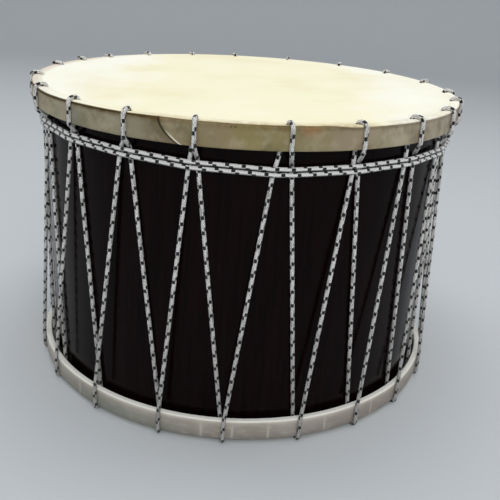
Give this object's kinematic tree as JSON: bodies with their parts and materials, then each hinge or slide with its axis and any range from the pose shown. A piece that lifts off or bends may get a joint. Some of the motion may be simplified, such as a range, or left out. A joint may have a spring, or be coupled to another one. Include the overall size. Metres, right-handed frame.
{
  "type": "davul drum",
  "caption": "Large double-headed drum: a dark lacquered wooden shell with lapped rawhide heads on hoops, laced up and down with one rope under a rope belt.",
  "frame": {"origin": "on the surface that the drum stands on, under the axis of the shell", "axes": "+Z along the shell's axis, up to the playing head; -Y is the front of the picture"},
  "size_m": [0.4077, 0.4073, 0.2772],
  "materials": {
    "shell_lacquer": "near-black maroon lacquer over bent wood, glossy",
    "ring_wood": "bare planed hardwood",
    "hoop_wood": "bare bent hardwood, inside the lapped skin",
    "rawhide_playing": "smooth cream rawhide, satin, greyer and worn on the rim",
    "rawhide_resonant": "grey-white rawhide, satin, stained at the rim",
    "braided_rope": "white braided cord with one black tracer yarn"
  },
  "bodies": {
    "root": {"shell": "shell_lacquer", "top_reinforcing_ring": "ring_wood", "bottom_reinforcing_ring": "ring_wood", "top_hoop": "hoop_wood", "bottom_hoop": "hoop_wood", "top_skin": "rawhide_playing", "bottom_skin": "rawhide_resonant", "lacing_rope": "braided_rope", "belt_rope": "braided_rope"}
  },
  "joints": []
}
